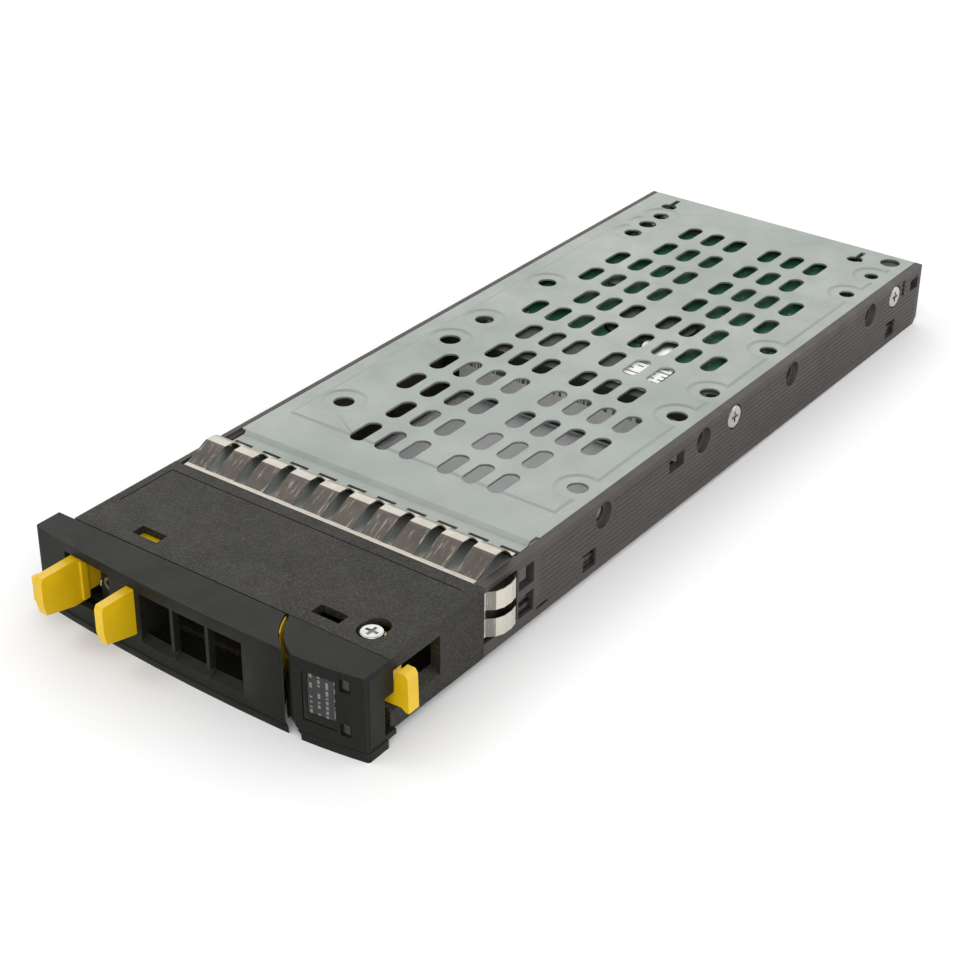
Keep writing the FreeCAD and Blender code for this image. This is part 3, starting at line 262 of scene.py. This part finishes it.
def marks(s, along, across, line, dash, seed):
    """Blank dashes in even lines, where printing would be: 1 on a mark."""
    row = s.math("FLOOR", s.math("DIVIDE", across, line))
    inside = s.math("FRACT", s.math("DIVIDE", across, line))
    cell = s.add("ShaderNodeCombineXYZ")
    s.link(s.math("FLOOR", s.math("DIVIDE", along, dash)), cell.inputs[0])
    s.link(row, cell.inputs[1])
    cell.inputs[2].default_value = seed
    random = s.add("ShaderNodeTexWhiteNoise", noise_dimensions="3D")
    s.link(cell.outputs["Vector"], random.inputs["Vector"])
    band = s.math("MULTIPLY", s.math("GREATER_THAN", inside, 0.36), s.math("LESS_THAN", inside, 0.68))
    return s.math("MULTIPLY", band, s.math("GREATER_THAN", random.outputs["Value"], 0.4))


def label_print():
    """Dark film with pale dashes that run up it."""
    s = Shader("label_print", Specular_IOR_Level=0.4)
    ink = marks(s, s.axis("Z"), s.axis("X"), 1.72, 0.36, 3.0)
    grain = s.noise(0.15, 2.0, 0.6)
    color = s.mix(s.math("MULTIPLY", ink, 0.6), (0.016, 0.016, 0.015), (0.26, 0.25, 0.24))
    return s.finish(color, s.remap(grain, 0.3, 0.7, 0.4, 0.55), s.bump(grain, 0.006, 0.5))


def paper_label():
    """White paper with plain bars: upright stripes on end faces, dashes on flat ones."""
    s = Shader("paper_label", Specular_IOR_Level=0.35)
    stripes = marks(s, s.axis("X"), s.axis("Z"), 30.0, 0.34, 5.0)
    dashes = marks(s, s.axis("X"), s.axis("Y"), 1.7, 0.8, 9.0)
    flat = s.math("GREATER_THAN", s.math("ABSOLUTE", s.facing("Z")), 0.5)
    ink = s.math("ADD", s.math("MULTIPLY", flat, dashes),
                 s.math("MULTIPLY", s.math("SUBTRACT", 1.0, flat), stripes))
    grain = s.noise(0.12, 4.0, 0.7)
    color = s.mix(s.math("MULTIPLY", ink, 0.85), (0.86, 0.86, 0.84), (0.02, 0.02, 0.02))
    return s.finish(color, s.remap(grain, 0.3, 0.7, 0.5, 0.68), s.bump(grain, 0.008, 0.5))


def winding():
    s = Shader("copper_winding", Metallic=0.7)
    wires = s.add("ShaderNodeTexWave", wave_type="BANDS", bands_direction="Z")
    s.link(s.scaled((1, 1, 1)), wires.inputs["Vector"])
    wires.inputs["Scale"].default_value = 1.6
    wires.inputs["Distortion"].default_value = 0.4
    color = s.mix(wires.outputs["Fac"], (0.30, 0.10, 0.03), (0.72, 0.33, 0.13))
    gloss = s.remap(s.noise(0.5), 0.3, 0.7, 0.28, 0.42)
    return s.finish(color, gloss, s.bump(wires.outputs["Fac"], 0.05, 0.8))


def felt():
    s = Shader("filter_fabric", Sheen_Weight=0.4)
    fibre = s.noise(0.15, 6.0, 0.8, stretch=(1, 4, 1))
    color = s.mix(fibre, (0.62, 0.62, 0.60), (0.9, 0.9, 0.88))
    return s.finish(color, s.remap(fibre, 0.3, 0.7, 0.8, 0.95), s.bump(fibre, 0.1, 1.0))


MATERIALS = {
    "zinc_sheet": zinc_sheet(),
    "rail_plastic": moulded("rail_plastic", (0.034, 0.029, 0.027), (0.050, 0.043, 0.040),
                            0.2, 0.014, 0.5, 0.35),
    "textured_plastic": moulded("textured_plastic", (0.010, 0.0095, 0.007), (0.019, 0.017, 0.013),
                                0.34, 0.06, 0.55, 0.9, 0.27),
    "bezel_plastic": moulded("bezel_plastic", (0.008, 0.009, 0.007), (0.013, 0.013, 0.011),
                             0.2, 0.008, 0.42, 0.3, 0.13),
    "yellow_plastic": yellow_plastic(),
    "bright_screw": metal("bright_screw", (0.56, 0.56, 0.54), 0.26),
    "brass_bush": metal("brass_bush", (0.72, 0.52, 0.22), 0.25),
    "spring_steel": spring_sheet(),
    "cover_steel": metal("cover_steel", (0.62, 0.63, 0.64), 0.3, 0.3, (1, 8, 1)),
    "spring_wire": metal("spring_wire", (0.6, 0.6, 0.6), 0.25),
    "lock_steel": metal("lock_steel", (0.22, 0.22, 0.23), 0.3),
    "magnet_nickel": metal("magnet_nickel", (0.72, 0.70, 0.66), 0.18),
    "disk_mirror": metal("disk_mirror", (0.86, 0.87, 0.88), 0.08, 0.2, (1, 1, 1), 0.0003, 0.97),
    "cast_aluminium": cast_metal("cast_aluminium", (0.32, 0.33, 0.32), (0.42, 0.42, 0.41), 0.9),
    "black_casting": cast_metal("black_casting", (0.008, 0.010, 0.008), (0.018, 0.022, 0.017), 0.2),
    "green_board": green_board(),
    "chip_black": dark_resin("chip_black", (0.018, 0.018, 0.019), 0.45),
    "connector_plastic": dark_resin("connector_plastic", (0.022, 0.022, 0.024), 0.4),
    "gasket_rubber": dark_resin("gasket_rubber", (0.02, 0.02, 0.02), 0.7),
    "white_plastic": dark_resin("white_plastic", (0.42, 0.42, 0.38), 0.45),
    "flex_amber": dark_resin("flex_amber", (0.34, 0.15, 0.03), 0.3),
    "light_pipe": light_pipe(),
    "label_print": label_print(),
    "paper_label": paper_label(),
    "copper_winding": winding(),
    "filter_fabric": felt(),
}
NODE_SLOT = {part["node"]: part["material_slot"] for part in frame["record"]["subparts"]}


WELD_DISTANCE = 0.002       # millimetres
SHARP_ANGLE = 38            # degrees between faces, above which an edge is rounded


def dress(obj, slot):
    obj.data.materials.clear()
    obj.data.materials.append(MATERIALS[slot])


def soften(obj, width):
    """Round the sharp edges of a CAD mesh by width millimetres."""
    weld = obj.modifiers.new("weld", "WELD")
    weld.merge_threshold = WELD_DISTANCE * MM
    bevel = obj.modifiers.new("edges", "BEVEL")
    bevel.width = width * MM
    bevel.segments = 2
    bevel.limit_method = "ANGLE"
    bevel.angle_limit = math.radians(SHARP_ANGLE)
    bevel.harden_normals = True


EDGE_RADII = {
    "handle_cover": 0.35, "led_bezel": 0.3, "front_housing": 0.25, "cam_lever": 0.45, "latch_button": 0.45,
    "right_rail": 0.1, "left_rail": 0.12, "top_plate": 0.08, "housing_base": 0.2, "pivot_screw": 0.12,
    "rail_screws": 0.12, "sas_connector": 0.15, "drive_base": 0.15, "drive_cover": 0.15,
}
for node_name, node in nodes.items():
    dress(node, NODE_SLOT[node_name])
    if node_name in EDGE_RADII:
        soften(node, EDGE_RADII[node_name])


# ---------------------------------------------------------------- floor, light and camera
FLOOR_HALF = 6.0            # metres
RAIL_END_STEP = 1.5         # millimetres from the rail's rear end to its lowest edge
CAMERA_PLACE = (0.22206, -0.31999, 0.22272)     # metres
CAMERA_ANGLES = (36.186, 30.282, -0.538)        # yaw, pitch and roll in degrees
CAMERA_LENS = 75.97                             # millimetres
ROOM_LIGHT = 0.78
LIGHTS = [
    # name, place, target, size (all in metres) and power in watts
    ("back_left", (-1.1, 1.5, 1.05), (0, 0.05, 0), (2.2, 1.3), 10.0),
    ("back_right", (1.3, 1.1, 0.8), (0, 0.05, 0), (1.6, 1.1), 5.5),
    ("front_right", (0.85, -1.15, 0.85), (0, -0.03, 0), (1.5, 1.5), 13.0),
    ("left_high", (-0.9, -0.5, 1.3), (0, -0.03, 0), (0.6, 0.6), 2.5),
]


def floor():
    """Pale floor that touches the bezel's flange and the rear ends of the rails."""
    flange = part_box("handle_cover")[0]
    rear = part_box("left_rail")
    rise = rear[0].z - flange.z
    run = rear[1].y - RAIL_END_STEP * MM - flange.y
    slope = math.atan2(rise, run)
    mesh = bpy.data.meshes.new("floor")
    corners = [(x * FLOOR_HALF, y * FLOOR_HALF, 0) for x, y in ((-1, -1), (1, -1), (1, 1), (-1, 1))]
    mesh.from_pydata(corners, [], [(0, 1, 2, 3)])
    obj = bpy.data.objects.new("floor", mesh)
    bpy.context.scene.collection.objects.link(obj)
    obj.matrix_world = Matrix.Translation((0, flange.y, flange.z)) @ Matrix.Rotation(slope, 4, "X")
    s = Shader("studio_floor", Specular_IOR_Level=0.2)
    cloud = s.noise(60.0, 3.0, 0.5)
    obj.data.materials.append(s.finish(s.mix(cloud, (0.93, 0.93, 0.93), (0.955, 0.955, 0.955)), 0.7))


def area_light(name, place, target, size, power):
    data = bpy.data.lights.new(name, "AREA")
    data.shape = "RECTANGLE"
    data.size, data.size_y = size
    data.energy = power
    obj = bpy.data.objects.new(name, data)
    bpy.context.scene.collection.objects.link(obj)
    aim = (Vector(target) - Vector(place)).to_track_quat("-Z", "Y")
    obj.matrix_world = Matrix.Translation(place) @ aim.to_matrix().to_4x4()


def studio_light():
    """A pale room with large soft panels: behind on both sides, front right, and high on the left."""
    world = bpy.data.worlds.new("studio")
    world.use_nodes = True
    background = world.node_tree.nodes["Background"]
    background.inputs["Color"].default_value = (1.0, 1.0, 1.0, 1.0)
    background.inputs["Strength"].default_value = ROOM_LIGHT
    bpy.context.scene.world = world
    for light in LIGHTS:
        area_light(*light)


def camera():
    """The viewing angle: right of and above the bezel, looking back along the carrier."""
    yaw, pitch, roll = (math.radians(angle) for angle in CAMERA_ANGLES)
    look = Vector((-math.sin(yaw) * math.cos(pitch), math.cos(yaw) * math.cos(pitch), -math.sin(pitch)))
    level = Vector((math.cos(yaw), math.sin(yaw), 0))
    down = look.cross(level)
    right = math.cos(roll) * level + math.sin(roll) * down
    down = math.cos(roll) * down - math.sin(roll) * level
    data = bpy.data.cameras.new("camera")
    data.sensor_width = 36.0
    data.lens = CAMERA_LENS
    data.clip_start = 0.01
    data.clip_end = 50.0
    obj = bpy.data.objects.new("camera", data)
    bpy.context.scene.collection.objects.link(obj)
    turn = Matrix((right, -down, -look)).transposed().to_4x4()
    obj.matrix_world = Matrix.Translation(CAMERA_PLACE) @ turn
    bpy.context.scene.camera = obj


floor()
studio_light()
camera()
bpy.context.scene.view_settings.view_transform = "Standard"
